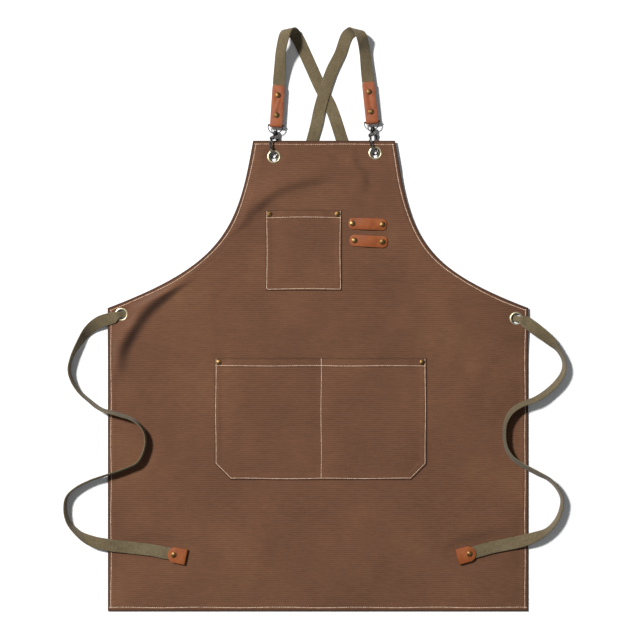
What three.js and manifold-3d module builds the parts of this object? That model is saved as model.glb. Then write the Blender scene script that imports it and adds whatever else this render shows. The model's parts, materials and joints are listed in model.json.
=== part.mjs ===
// A butcher's canvas apron with cross-back webbing straps, lying flat on a table, face up.
// Millimetres, +Z up, +Y from the bottom hem to the bib. The origin is the middle of the
// bottom hem's underside, where the apron rests.
import * as THREE from 'three';
import { mergeVertices } from 'three/addons/utils/BufferGeometryUtils.js';
import Module from 'manifold-3d';

const wasm = await Module();
wasm.setup();

// ---------------------------------------------------------------- driving dimensions

const touch = 0.2; // play between pieces that are pressed together
const clear = 0.35; // play between pieces that only lie near each other

// Panel. Y is measured from the waistline while the panel is laid out.
const skirtWidth = 700;
const skirtTop = 20;
const panelBottom = -485;
const bibTop = 298;
const bibWidth = 236;
const bibShift = 10; // the bib lies this far to the right of the skirt's middle
const cloth = 1.2;
const hemWidth = 12;
const hemFold = 1.2; // the turned-under hem adds this much below the cloth

// Webbing
const webbingWidth = 20;
const webbingThickness = 1.8;
const gatheredLength = webbingWidth - 8.5; // a wider strap takes longer to close up
const gatheredThickness = 2.2;

// Eyelets
const eyeletBore = 16.4;
const gatheredWidth = eyeletBore - 7; // where a strap is pulled through an eyelet
const eyeletFlange = eyeletBore + 5.6;
const eyeletBarrelWall = 0.6;
const eyeletFlangeHeight = 1.1;
const washerThickness = 0.6;
const washerDiameter = eyeletFlange - 1;
const leftBibEyelet = { x: -73.2, belowTop: 26.7, turn: -3.8 };
const rightBibEyelet = { x: 95.3, belowTop: 20.8, turn: 6.0 };
const leftSideEyelet = { fromEdge: 23, belowSkirtTop: 10.8 };
const rightSideEyelet = { fromEdge: 20, belowSkirtTop: 17.7 };

// Snap hook, measured along its own length from the eyelet centre
const hookWire = 4;
const hookLoopHalf = 8; // from the hook's long axis to the middle of its arms
const hookRoll = 38; // degrees the loop leans over from upright
const hookOffTable = 1.2;
const bightCentre = 4;
const noseTip = 9.5;
const gatePivotY = 29.5;
const gateWidth = 2.2;
const gateDepth = 3.4;
const headWidth = 6.6;
const headTop = 35.4;
const forkSlot = 4.6;
const pinDiameter = 1.6;
const springWire = 0.4;
const springTurns = 2;
const postDiameter = 3.8;
const postHeadDiameter = 6.4;
const postHeadHeight = 1.5;

// D ring that turns on the hook's post
const ringWire = 3.2;
const ringInside = webbingWidth + 1;
const ringBarY = 52;
const barrelDiameter = 8.4;
const barrelLength = 6.2;
const barrelPlay = 0.4;

// Leather
const leather = 1.6;
const hookTabWidth = webbingWidth + 0.4;
const hookTabTop = 118.5;
const hookTabCorner = 4.5;
const hookTabRivets = [68.7, 102];
const endTabWidth = webbingWidth + 5.5;
const endTabLength = 31;
const endTabRivet = 10.5;
const stripLength = 63;
const stripWidth = 19;
const stripThickness = 1.8;
const stripBow = 1.4;
const stripCorner = 7;

// Rivets
const rivetPost = 3.2;
const rivetHole = 3.8;
const rivetHead = 9.5;
const rivetHeadHeight = 1.8;
const rivetTail = 8;
const rivetTailHeight = 0.8;

// Pockets
const pocketCloth = 1.0;
const chestPocket = { left: -87, right: 39, top: 182.5, bottom: 49.5, rivetInset: 6.5 };
const waistPocket = { left: -172, right: 180.5, top: -63.5, bottom: -265.5, cut: 26, rivetInset: 7 };
const toolStrips = [
  { name: 'upper', x: 82.3, y: 159.6, turn: -2, rivetSpan: 50 },
  { name: 'lower', x: 84, y: 131, turn: -3, rivetSpan: 46.6 },
];

// ---------------------------------------------------------------- heights that follow

const rad = THREE.MathUtils.degToRad;
const rollCos = Math.cos(rad(hookRoll));
const hookAxis = hookOffTable + hookWire / 2 + hookLoopHalf * rollCos;
const spineTop = hookAxis - hookLoopHalf * rollCos + hookWire / 2;
const waistLift = webbingThickness + 1.2; // the hem rides over the straps
const bibLift = spineTop + 0.5; // and over the hooks' back arms
const clothTop = hemFold + cloth;
const skirtHalf = skirtWidth / 2;
const strapOnTable = webbingThickness / 2 + 0.1;

const bibEyelets = {
  left: { x: leftBibEyelet.x, y: bibTop - leftBibEyelet.belowTop, turn: leftBibEyelet.turn },
  right: { x: rightBibEyelet.x, y: bibTop - rightBibEyelet.belowTop, turn: rightBibEyelet.turn },
};
const sideEyelets = {
  left: { x: leftSideEyelet.fromEdge - skirtHalf, y: skirtTop - leftSideEyelet.belowSkirtTop },
  right: { x: skirtHalf - rightSideEyelet.fromEdge, y: skirtTop - rightSideEyelet.belowSkirtTop },
};

// How far the cloth is lifted off the table, going up the apron
const liftSteps = [
  [panelBottom - 20, 0],
  [skirtTop - 76, 0],
  [skirtTop - 34, waistLift],
  [bibTop - 64, waistLift],
  [bibTop - 44, bibLift],
  [bibTop + 20, bibLift],
];

// ---------------------------------------------------------------- materials

const canvas = new THREE.MeshStandardMaterial({ color: 0x73553f, roughness: 0.95 });
const pocketCanvas = new THREE.MeshStandardMaterial({ color: 0x6f523c, roughness: 0.95 });
const webbing = new THREE.MeshStandardMaterial({ color: 0x766954, roughness: 0.9 });
const tanLeather = new THREE.MeshStandardMaterial({ color: 0xb96b45, roughness: 0.6 });
const brass = new THREE.MeshStandardMaterial({ color: 0xa78a5a, roughness: 0.4, metalness: 1 });
const nickel = new THREE.MeshStandardMaterial({ color: 0x8d8c86, roughness: 0.3, metalness: 1 });
const springSteel = new THREE.MeshStandardMaterial({ color: 0x6e6e6e, roughness: 0.4, metalness: 1 });

// ---------------------------------------------------------------- solids

function toManifold(geometry) {
  const bare = geometry.clone();
  bare.deleteAttribute('normal');
  bare.deleteAttribute('uv');
  const merged = mergeVertices(bare, 1e-4);
  const vertProperties = new Float32Array(merged.attributes.position.array);
  const triVerts = new Uint32Array(merged.index.array);
  return new wasm.Manifold(new wasm.Mesh({ numProp: 3, vertProperties, triVerts }));
}

function toGeometry(manifold) {
  const mesh = manifold.getMesh();
  const geometry = new THREE.BufferGeometry();
  geometry.setAttribute('position', new THREE.BufferAttribute(new Float32Array(mesh.vertProperties), 3));
  geometry.setIndex(new THREE.BufferAttribute(new Uint32Array(mesh.triVerts), 1));
  geometry.computeVertexNormals();
  return geometry;
}

function joined(first, ...others) {
  return toGeometry(others.reduce((sum, next) => sum.add(toManifold(next)), toManifold(first)));
}

function cut(body, ...tools) {
  return toGeometry(tools.reduce((rest, tool) => rest.subtract(toManifold(tool)), toManifold(body)));
}

function polygon(points) {
  return new THREE.Shape(points.map(([x, y]) => new THREE.Vector2(x, y)));
}

// A flat plate with its outline in X and Y
function plate(shape, bottom, top, curveSegments = 12) {
  const settings = { depth: top - bottom, bevelEnabled: false, curveSegments };
  return new THREE.ExtrudeGeometry(shape, settings).translate(0, 0, bottom);
}

// A plate with its outline in Y and Z, as wide as given along X
function sidePlate(points, width, middle = 0) {
  const settings = { depth: width, bevelEnabled: false };
  const geometry = new THREE.ExtrudeGeometry(polygon(points), settings).translate(0, 0, middle - width / 2);
  const turned = new THREE.Matrix4().makeBasis(
    new THREE.Vector3(0, 1, 0),
    new THREE.Vector3(0, 0, 1),
    new THREE.Vector3(1, 0, 0),
  );
  return geometry.applyMatrix4(turned);
}

function upright(radius, bottom, top, sides = 16) {
  const geometry = new THREE.CylinderGeometry(radius, radius, top - bottom, sides);
  return geometry.rotateX(Math.PI / 2).translate(0, 0, (top + bottom) / 2);
}

function alongX(radius, length, sides = 12) {
  return new THREE.CylinderGeometry(radius, radius, length, sides).rotateZ(Math.PI / 2);
}

function alongY(radius, start, end, sides = 14) {
  return new THREE.CylinderGeometry(radius, radius, end - start, sides).translate(0, (start + end) / 2, 0);
}

// A round wire bent along a smooth curve
function wire(points, diameter, steps, sides = 8) {
  const path = new THREE.CatmullRomCurve3(points.map((p) => new THREE.Vector3(...p)));
  const section = new THREE.Shape().absarc(0, 0, diameter / 2, 0, 2 * Math.PI, false);
  const ring = new THREE.Shape(section.getPoints(sides).slice(0, sides));
  return new THREE.ExtrudeGeometry(ring, { steps, extrudePath: path, bevelEnabled: false });
}

function turnedRing(profile, segments = 28) {
  const points = profile.map(([r, z]) => new THREE.Vector2(r, z));
  points.push(points[0].clone());
  return new THREE.LatheGeometry(points, segments).rotateX(Math.PI / 2);
}

function turnedSolid(profile, segments = 12) {
  const points = profile.map(([r, z]) => new THREE.Vector2(r, z));
  return new THREE.LatheGeometry(points, segments).rotateX(Math.PI / 2);
}

function named(name, geometry, material) {
  const mesh = new THREE.Mesh(geometry, material.clone());
  mesh.name = name;
  return mesh;
}

// A rivet whose head sits on z = 0 and whose tail closes the given thickness below
function rivetGeometry(grip) {
  const head = rivetHead / 2;
  return turnedSolid([
    [0, -grip - touch - rivetTailHeight],
    [rivetTail / 2, -grip - touch - rivetTailHeight],
    [rivetTail / 2, -grip - touch],
    [rivetPost / 2, -grip - touch],
    [rivetPost / 2, touch],
    [head, touch],
    [head, touch + 0.3 * rivetHeadHeight],
    [0.6 * head, touch + 0.86 * rivetHeadHeight],
    [0, touch + rivetHeadHeight],
  ]);
}

function rivetBore(x, y) {
  return upright(rivetHole / 2, -20, 40, 12).translate(x, y, 0);
}

function placedRivet(name, x, y, top, grip) {
  const rivet = named(name, rivetGeometry(grip), brass);
  rivet.position.set(x, y, top);
  return rivet;
}

// ---------------------------------------------------------------- panel and pockets

// Half an armhole: from the bib's corner down and out to the skirt's corner
function armhole(side) {
  const bibCorner = new THREE.Vector2(bibShift + (side * bibWidth) / 2, bibTop);
  const skirtCorner = new THREE.Vector2(side * skirtHalf, skirtTop);
  const bibPull = new THREE.Vector2(bibCorner.x + side * 25.5, bibTop - 150);
  const skirtPull = new THREE.Vector2(skirtCorner.x - side * 190, skirtTop + 72);
  return new THREE.CubicBezierCurve(bibCorner, bibPull, skirtPull, skirtCorner);
}

function panelOutline() {
  const left = armhole(-1).getPoints(14);
  const right = armhole(1).getPoints(14).reverse();
  const bottomLeft = new THREE.Vector2(-skirtHalf, panelBottom);
  const bottomRight = new THREE.Vector2(skirtHalf, panelBottom);
  return [...left, bottomLeft, bottomRight, ...right];
}

// The same outline, moved inwards by the hem's width
function inset(points, distance) {
  const count = points.length;
  return points.map((point, i) => {
    const before = points[(i + count - 1) % count];
    const after = points[(i + 1) % count];
    const inwardA = new THREE.Vector2(-(point.y - before.y), point.x - before.x).normalize();
    const inwardB = new THREE.Vector2(-(after.y - point.y), after.x - point.x).normalize();
    const middle = inwardA.clone().add(inwardB).normalize();
    return point.clone().addScaledVector(middle, distance / middle.dot(inwardA));
  });
}

// The space between two heights above the lifted cloth's lowest face
function liftedSlab(bottom, top) {
  const under = liftSteps.map(([y, z]) => [y, z + bottom]);
  const over = liftSteps.map(([y, z]) => [y, z + top]).reverse();
  return sidePlate([...under, ...over], skirtWidth + 40);
}

function apronPanel() {
  const outline = panelOutline();
  const sheet = toManifold(plate(new THREE.Shape(outline), -10, 30));
  const inner = toManifold(plate(new THREE.Shape(inset(outline, hemWidth)), -10, 30));
  const hollow = inner.intersect(toManifold(liftedSlab(-4, hemFold)));
  let body = sheet.intersect(toManifold(liftedSlab(0, clothTop))).subtract(hollow);
  const eyeletHole = eyeletBore / 2 + eyeletBarrelWall + touch + 0.1;
  const seats = [[bibEyelets, bibLift], [sideEyelets, waistLift]];
  for (const [eyelets, lift] of seats) {
    for (const { x, y } of Object.values(eyelets)) {
      const washerSeat = upright(washerDiameter / 2 + clear, -4, lift + hemFold, 24);
      body = body.subtract(toManifold(upright(eyeletHole, -20, 40, 24).translate(x, y, 0)));
      body = body.subtract(toManifold(washerSeat.translate(x, y, 0)));
    }
  }
  for (const { x, y } of [...pocketRivets(), ...stripRivets()]) {
    body = body.subtract(toManifold(rivetBore(x, y)));
  }
  return named('apron_panel', toGeometry(body), canvas);
}

function pocketRivets() {
  const row = (pocket, name) =>
    ['left', 'right'].map((side) => ({
      name: `${name}_pocket_rivet_${side}`,
      x: side === 'left' ? pocket.left + pocket.rivetInset : pocket.right - pocket.rivetInset,
      y: pocket.top - pocket.rivetInset,
      grip: pocketCloth + touch + cloth,
    }));
  return [...row(chestPocket, 'chest'), ...row(waistPocket, 'waist')];
}

function pocketPlate(name, points, level) {
  const bottom = level + clothTop + touch;
  const shape = polygon(points);
  const bores = pocketRivets().map(({ x, y }) => rivetBore(x, y));
  return named(name, cut(plate(shape, bottom, bottom + pocketCloth), ...bores), pocketCanvas);
}

function chestPocketPlate() {
  const { left, right, top, bottom } = chestPocket;
  const corners = [[left, bottom], [right, bottom], [right, top], [left, top]];
  return pocketPlate('chest_pocket', corners, waistLift);
}

function waistPocketPlate() {
  const { left, right, top, bottom, cut: corner } = waistPocket;
  const corners = [
    [left, bottom + corner],
    [left + corner, bottom],
    [right - corner, bottom],
    [right, bottom + corner],
    [right, top],
    [left, top],
  ];
  return pocketPlate('waist_pocket', corners, 0);
}

// ---------------------------------------------------------------- tool strips

function stripRivets() {
  return toolStrips.flatMap(({ name, x, y, turn, rivetSpan }) =>
    ['left', 'right'].map((side) => {
      const reach = (side === 'left' ? -1 : 1) * (rivetSpan / 2);
      return {
        name: `${name}_strip_rivet_${side}`,
        x: x + reach * Math.cos(rad(turn)),
        y: y + reach * Math.sin(rad(turn)),
        grip: stripThickness + touch + cloth,
      };
    }),
  );
}

// A leather strip with clipped corners, held down at both ends and bowed up between them
function toolStrip({ name, x, y, turn, rivetSpan }) {
  const half = stripLength / 2;
  const wide = stripWidth / 2;
  const corners = [];
  for (let i = 0; i < 16; i += 1) {
    const quarter = Math.floor(i / 4);
    const angle = (quarter + (i % 4) / 3) * (Math.PI / 2);
    const centreX = (quarter === 0 || quarter === 3 ? 1 : -1) * (half - stripCorner);
    const centreY = (quarter < 2 ? 1 : -1) * (wide - stripCorner);
    corners.push([centreX + stripCorner * Math.cos(angle), centreY + stripCorner * Math.sin(angle)]);
  }
  const outline = polygon(corners);
  const bowStart = rivetSpan / 2 - rivetHead / 2;
  const under = [[-half, 0], [-bowStart, 0]];
  for (let i = 1; i < 6; i += 1) {
    const along = -bowStart + (2 * bowStart * i) / 6;
    under.push([along, stripBow * Math.cos((along / bowStart) * (Math.PI / 2))]);
  }
  under.push([bowStart, 0], [half, 0]);
  const over = under.map(([along, z]) => [along, z + stripThickness]).reverse();
  const band = new THREE.ExtrudeGeometry(polygon([...under, ...over]), { depth: 40, bevelEnabled: false });
  band.rotateX(Math.PI / 2).translate(0, 20, 0);
  let body = toManifold(plate(outline, -2, 8)).intersect(toManifold(band));
  for (const side of [-1, 1]) {
    body = body.subtract(toManifold(rivetBore((side * rivetSpan) / 2, 0)));
  }
  const strip = named(`${name}_tool_strip`, toGeometry(body), tanLeather);
  strip.position.set(x, y, waistLift + clothTop + touch);
  strip.rotation.z = rad(turn);
  return strip;
}

// ---------------------------------------------------------------- eyelets

function eyelet(name, { x, y }, lift) {
  const bore = eyeletBore / 2;
  const barrel = bore + eyeletBarrelWall;
  const flange = eyeletFlange / 2;
  const depth = cloth + 2 * touch + washerThickness;
  const ring = turnedRing([
    [bore, -depth],
    [barrel, -depth],
    [barrel, 0],
    [flange, 0],
    [flange, 0.4 * eyeletFlangeHeight],
    [flange - 1.4, eyeletFlangeHeight],
    [bore + 0.8, 0.9 * eyeletFlangeHeight],
    [bore, 0.4 * eyeletFlangeHeight],
  ]);
  const mesh = named(name, ring, brass);
  mesh.position.set(x, y, lift + clothTop + touch);
  return mesh;
}

function washer(name, { x, y }, lift) {
  const inner = eyeletBore / 2 + eyeletBarrelWall + touch;
  const outer = washerDiameter / 2;
  const ring = turnedRing([[inner, 0], [outer, 0], [outer, washerThickness], [inner, washerThickness]]);
  const mesh = named(name, ring, brass);
  mesh.position.set(x, y, lift + hemFold - touch - washerThickness);
  return mesh;
}

// ---------------------------------------------------------------- snap hook
// The loop lies in Y and Z, with Z across the loop from its back arm to its gate.

function hookBody() {
  const arm = hookLoopHalf;
  const bend = [];
  for (let i = 1; i < 8; i += 1) {
    const turn = (Math.PI * i) / 8;
    bend.push([0, bightCentre - arm * Math.sin(turn), arm * Math.cos(turn)]);
  }
  const path = [[0, noseTip, arm], [0, bightCentre, arm], ...bend, [0, bightCentre, -arm]];
  path.push([0, 14, -arm], [0, 24, -arm], [0, 29, -arm + 0.6]);
  const loop = wire(path, hookWire, 30, 10);
  const inner = gatePivotY - 2.4;
  const head = sidePlate(
    [
      [27.4, -arm - 1.2], [30, -arm - 1], [33.2, -arm + 3], [headTop, -2.7], [headTop, 2.7],
      [33.6, arm - 2.6], [32, arm + 1.2], [30.4, arm + 2.1], [inner, arm + 2.1],
      [inner, arm - 2.1], [29.6, arm - 3.4], [30.6, 2.6], [30.6, -2.6], [29.2, -arm + 3.2], [27.4, -arm + 2],
    ],
    headWidth,
  );
  const postEnd = headTop + barrelPlay + barrelLength + barrelPlay;
  const post = alongY(postDiameter / 2, headTop - 2, postEnd + 0.5, 16);
  const postHead = alongY(postHeadDiameter / 2, postEnd, postEnd + postHeadHeight, 16);
  const slot = new THREE.BoxGeometry(forkSlot, 8.4, 9).translate(0, gatePivotY - 1.2, arm + 0.6);
  const pinHole = alongX(pinDiameter / 2 + 0.3, 20).translate(0, gatePivotY, arm);
  return cut(joined(loop, head, post, postHead), slot, pinHole);
}

// The lever that closes the loop: an eye round the pin, a flat arm and a thumb rest
function gate() {
  const deep = gateDepth / 2;
  const tip = noseTip + 0.35 - gatePivotY;
  const eye = alongX(2.1, gateWidth, 16);
  const arm = sidePlate(
    [
      [tip, -deep], [0.2, -deep], [0.8, deep - 0.2], [-2.4, deep],
      [-6.4, deep], [-8.2, deep + 1.9], [-9.4, deep + 2], [-11, deep], [tip, deep],
    ],
    gateWidth,
  );
  const closingEnd = new THREE.BoxGeometry(hookWire - 0.4, 6, gateDepth).translate(0, tip + 3, 0);
  const bore = alongX(pinDiameter / 2 + 0.3, 10);
  const offset = (gateWidth - forkSlot) / 2 + clear;
  const whole = joined(eye.translate(offset, 0, 0), arm.translate(offset, 0, 0), closingEnd);
  return cut(whole, bore);
}

// A torsion spring wound round the pin, beside the gate's eye
function gateSpring() {
  const coil = pinDiameter / 2 + 0.35 + springWire / 2;
  const pitch = springWire + 0.05;
  const first = gateWidth - forkSlot / 2 + clear * 2 + springWire / 2;
  const points = [];
  const perTurn = 8;
  points.push([first, 2.4, coil]);
  for (let i = 0; i <= springTurns * perTurn; i += 1) {
    const turn = (2 * Math.PI * i) / perTurn;
    points.push([first + (pitch * i) / perTurn, -coil * Math.sin(turn), coil * Math.cos(turn)]);
  }
  return wire(points, springWire, springTurns * 12, 5);
}

function dRing() {
  const start = headTop + barrelPlay;
  const end = start + barrelLength;
  const reach = (ringInside + ringWire) / 2;
  const barrel = turnedRing(
    [
      [postDiameter / 2 + 0.35, 0], [barrelDiameter / 2 - 0.8, 0], [barrelDiameter / 2, 1],
      [barrelDiameter / 2, barrelLength - 1.4], [barrelDiameter / 2 - 1, barrelLength],
      [postDiameter / 2 + 0.35, barrelLength],
    ],
    18,
  );
  barrel.rotateX(-Math.PI / 2).translate(0, start, 0);
  const pieces = [alongX(ringWire / 2, 2 * reach).translate(0, ringBarY, 0)];
  for (const side of [-1, 1]) {
    const arm = [
      [side * (barrelDiameter / 2 - 1.1), (start + end) / 2, 0],
      [side * (reach - 4.6), end - 1.2, 0],
      [side * (reach - 1), end + 3, 0],
      [side * reach, ringBarY - 3.5, 0],
      [side * reach, ringBarY, 0],
    ];
    pieces.push(wire(arm, ringWire, 9));
    pieces.push(new THREE.SphereGeometry(ringWire / 2, 8, 6).translate(side * reach, ringBarY, 0));
  }
  return joined(barrel, ...pieces);
}

// Leather folded round a bar or over a strap's end; both layers run to the far end
function foldedLeather(fold, far, inner, gapHalf) {
  const outer = inner + leather;
  const face = gapHalf + leather;
  const away = Math.sign(far - fold);
  const around = (radius, from, to) => {
    const points = [];
    for (let i = 0; i <= 6; i += 1) {
      const turn = from + ((to - from) * i) / 6;
      points.push([fold - away * radius * Math.cos(turn), radius * Math.sin(turn)]);
    }
    return points;
  };
  const easing = fold + away * (outer + 4);
  const quarter = Math.PI / 2;
  return [
    [far, face], [easing, face], ...around(outer, quarter, -quarter), [easing, -face], [far, -face],
    [far, -gapHalf], [easing, -gapHalf], ...around(inner, -quarter, quarter), [easing, gapHalf],
    [far, gapHalf],
  ];
}

function roundedEnd(width, start, end, round) {
  const half = width / 2;
  const shape = new THREE.Shape();
  const nose = Math.sign(end - start) * round;
  shape.moveTo(-half, start);
  shape.lineTo(half, start);
  shape.lineTo(half, end - nose);
  shape.bezierCurveTo(half, end - 0.35 * nose, half - 0.65 * round, end, half - round, end);
  if (round < half) shape.lineTo(round - half, end);
  shape.bezierCurveTo(0.65 * round - half, end, -half, end - 0.35 * nose, -half, end - nose);
  return shape;
}

const leatherGap = webbingThickness / 2 + touch;
const leatherFace = leatherGap + leather;

function hookTab() {
  const inner = ringWire / 2 + 0.3;
  const folded = sidePlate(foldedLeather(ringBarY, hookTabTop + 5, inner, leatherGap), hookTabWidth);
  const outline = roundedEnd(hookTabWidth + 0.02, ringBarY - 10, hookTabTop, hookTabCorner);
  let body = toManifold(folded).intersect(toManifold(plate(outline, -8, 8)));
  for (const y of hookTabRivets) {
    body = body.subtract(toManifold(rivetBore(0, y)));
  }
  return toGeometry(body);
}

function strapEnd() {
  const start = ringBarY + ringWire / 2 + 2.4;
  const end = hookTabTop + 0.6;
  const width = webbingWidth - 0.6;
  const band = new THREE.BoxGeometry(width, end - start, webbingThickness).translate(0, (start + end) / 2, 0);
  return cut(band, ...hookTabRivets.map((y) => rivetBore(0, y)));
}

// Hook, D ring and leather tab, laid out from the bib eyelet they hang on
function hanger(side) {
  const { x, y, turn } = bibEyelets[side];
  const group = new THREE.Group();
  group.position.set(x, y, hookAxis);
  group.rotation.z = rad(turn);
  const loop = new THREE.Group();
  loop.rotation.y = -rad(hookRoll);
  loop.add(named(`${side}_hook_body`, hookBody(), nickel));
  const hinged = [
    named(`${side}_hook_gate`, gate(), nickel),
    named(`${side}_gate_pin`, alongX(pinDiameter / 2, headWidth + 0.6), nickel),
    named(`${side}_gate_spring`, gateSpring(), springSteel),
  ];
  for (const piece of hinged) {
    piece.position.set(0, gatePivotY, hookLoopHalf);
    loop.add(piece);
  }
  group.add(loop);
  group.add(named(`${side}_swivel_ring`, dRing(), nickel));
  group.add(named(`${side}_hook_tab`, hookTab(), tanLeather));
  group.add(named(`${side}_strap_end`, strapEnd(), webbing));
  hookTabRivets.forEach((along, i) => {
    const name = `${side}_tab_rivet_${i === 0 ? 'lower' : 'upper'}`;
    group.add(placedRivet(name, 0, along, leatherFace, 2 * leatherFace));
  });
  return group;
}

// ---------------------------------------------------------------- straps
// A route is a list of [x, y, z, lean]; lean is how far the strap is rolled about its own
// length, 0 lying flat and 90 standing on its edge.

function fromLean(position, tangent, lean) {
  const side = new THREE.Vector3(0, 0, 1).cross(tangent).normalize();
  const up = tangent.clone().cross(side).normalize();
  return up.multiplyScalar(Math.cos(rad(lean))).addScaledVector(side, Math.sin(rad(lean)));
}

// Half a turn round a level bar: the strap goes up one side, over, and back below
function turnOver({ x, y, axis, radius, advance, base, lean }) {
  const along = new THREE.Vector3(Math.cos(rad(axis)), Math.sin(rad(axis)), 0);
  const out = new THREE.Vector3(-along.y * Math.sign(along.x), Math.abs(along.x), 0);
  const stations = [];
  for (let i = 0; i <= 6; i += 1) {
    const turn = (Math.PI * i) / 6;
    const face = out.clone().multiplyScalar(Math.sin(turn));
    face.z = Math.cos(turn);
    const onward = out.clone().multiplyScalar(Math.cos(turn)).setZ(-Math.sin(turn));
    const roll = lean * Math.max(0, 1 - i / 3);
    const place = new THREE.Vector3(x, y, base + radius);
    place.addScaledVector(along, advance * (i / 6 - 0.5)).addScaledVector(face, radius);
    stations.push({ place, face: face.clone().applyAxisAngle(onward, rad(roll)) });
  }
  return stations;
}

function stationList(route) {
  const places = route.map((entry) => entry.place ?? new THREE.Vector3(entry[0], entry[1], entry[2]));
  const path = new THREE.CatmullRomCurve3(places, false, 'centripetal');
  const faces = route.map((entry, i) => {
    if (entry.face) return entry.face;
    const tangent = path.getTangent(i / (route.length - 1));
    return fromLean(places[i], tangent, entry[3] ?? 0);
  });
  return { path, faces: new THREE.CatmullRomCurve3(faces, false, 'centripetal') };
}

// A strap swept along its route; it is gathered where it passes through an eyelet
function strap(route, steps, throughEyelet) {
  const { path, faces } = stationList(route);
  const band = new THREE.BoxGeometry(1, 1, 1, steps, 1, 1);
  const position = band.attributes.position;
  const eye = new THREE.Vector3(throughEyelet.x, throughEyelet.y, 4);
  for (let i = 0; i < position.count; i += 1) {
    const t = path.getUtoTmapping(position.getX(i) + 0.5);
    const place = path.getPoint(t);
    const tangent = path.getTangent(t);
    const face = faces.getPoint(t);
    face.addScaledVector(tangent, -face.dot(tangent)).normalize();
    const across = face.clone().cross(tangent);
    const gather = Math.exp(-((place.distanceTo(eye) / gatheredLength) ** 4));
    const width = webbingWidth + (gatheredWidth - webbingWidth) * gather;
    const thickness = webbingThickness + (gatheredThickness - webbingThickness) * gather;
    place.addScaledVector(across, position.getY(i) * width);
    place.addScaledVector(face, position.getZ(i) * thickness);
    position.setXYZ(i, place.x, place.y, place.z);
  }
  return band;
}

// A point along a hanger's length, in the apron's frame
function alongHanger(side, distance) {
  const { x, y, turn } = bibEyelets[side];
  return [x - distance * Math.sin(rad(turn)), y + distance * Math.cos(rad(turn))];
}

const shoulderTurns = {
  left: { x: -45, y: bibTop + 169, axis: 9.5, radius: 15, advance: 23, base: strapOnTable + 0.6, lean: -28 },
  right: { x: 60, y: bibTop + 172, axis: 168, radius: 12, advance: 25, base: strapOnTable + 0.6, lean: 26 },
};
const crossing = strapOnTable + webbingThickness + clear;
const joinFromEyelet = 52; // where a shoulder strap's solid meets its waist tie's, under the cloth

// Each strap rises from its hook tab and rolls outwards before it turns over, the left one higher
const frontLeg = [
  { past: 0, rise: { left: 0, right: 0 }, lean: { left: 0, right: 0 } },
  { past: 8, rise: { left: 0.3, right: 0.1 }, lean: { left: 3, right: -3 } },
  { past: 28, rise: { left: 3.6, right: 0.8 }, lean: { left: 18, right: -15 } },
  { past: 50, rise: { left: 11, right: 2.2 }, lean: { left: 30, right: -20 } },
];

// From the hook tab up, over, down behind the bib and out towards the other side's eyelet
function shoulderRoute(side) {
  const start = hookTabTop + 0.6 + clear;
  const front = frontLeg.map(({ past, rise, lean }) => {
    const [x, y] = alongHanger(side, start + past);
    return [x, y, hookAxis + rise[side], lean[side]];
  });
  const flat = strapOnTable;
  if (side === 'left') {
    const eye = sideEyelets.right;
    return [
      ...front, ...turnOver(shoulderTurns.left),
      [-15, bibTop + 131, flat, 180], [4, bibTop + 89, flat, 180], [21, bibTop + 57, flat, 180],
      [40, bibTop + 1, flat, 180], [60, bibTop - 62, flat, 180], [92, bibTop - 140, flat, 180],
      [148, bibTop - 205, flat, 180], [eye.x - 110, eye.y + 46, flat, 180],
      [eye.x - joinFromEyelet, eye.y + 19, flat, 180],
    ];
  }
  const eye = sideEyelets.left;
  return [
    ...front, ...turnOver(shoulderTurns.right),
    [37, bibTop + 145, flat + 0.6, 180], [23.5, bibTop + 118, crossing, 180],
    [12.5, bibTop + 87, crossing, 180], [2, bibTop + 50, crossing, 180], [-2.5, bibTop + 28, crossing, 180],
    [-9.5, bibTop + 1, flat + 0.6, 180], [-26, bibTop - 62, flat, 180], [-60, bibTop - 145, flat, 180],
    [-118, bibTop - 205, flat, 180], [eye.x + 112, eye.y + 44, flat, 180],
    [eye.x + joinFromEyelet, eye.y + 18, flat, 180],
  ];
}

// Up through the eyelet from below: a steep step that clears the washer and the flange
function eyeletClimb(eye, outward) {
  const low = gatheredThickness / 2 + 0.3;
  const high = waistLift + clothTop + touch + eyeletFlangeHeight + gatheredThickness / 2 + clear;
  const slope = Math.sign(outward);
  return [
    [eye.x - slope * 16, eye.y + 4, low],
    [eye.x - slope * (eyeletBore / 2 - 2.6), eye.y + 1.2, low + 0.2],
    [eye.x + slope * (eyeletBore / 2 - 1.8), eye.y - 1.5, high + 0.6],
    [eye.x + slope * 16, eye.y - 6, high],
  ];
}

const onEdge = webbingWidth / 2 + 0.4;
const onEdgeOverCloth = onEdge + clothTop;
const endTabLevel = clothTop + leatherFace + touch + rivetTailHeight + clear;

const endTabs = {
  left: { x: -skirtHalf + 100, y: -388, turn: -11.5 },
  right: { x: skirtHalf - 88, y: -385.5, turn: 195.6 },
};

function alongEndTab(side, distance) {
  const { x, y, turn } = endTabs[side];
  return [x + distance * Math.cos(rad(turn)), y + distance * Math.sin(rad(turn)), endTabLevel];
}

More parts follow.
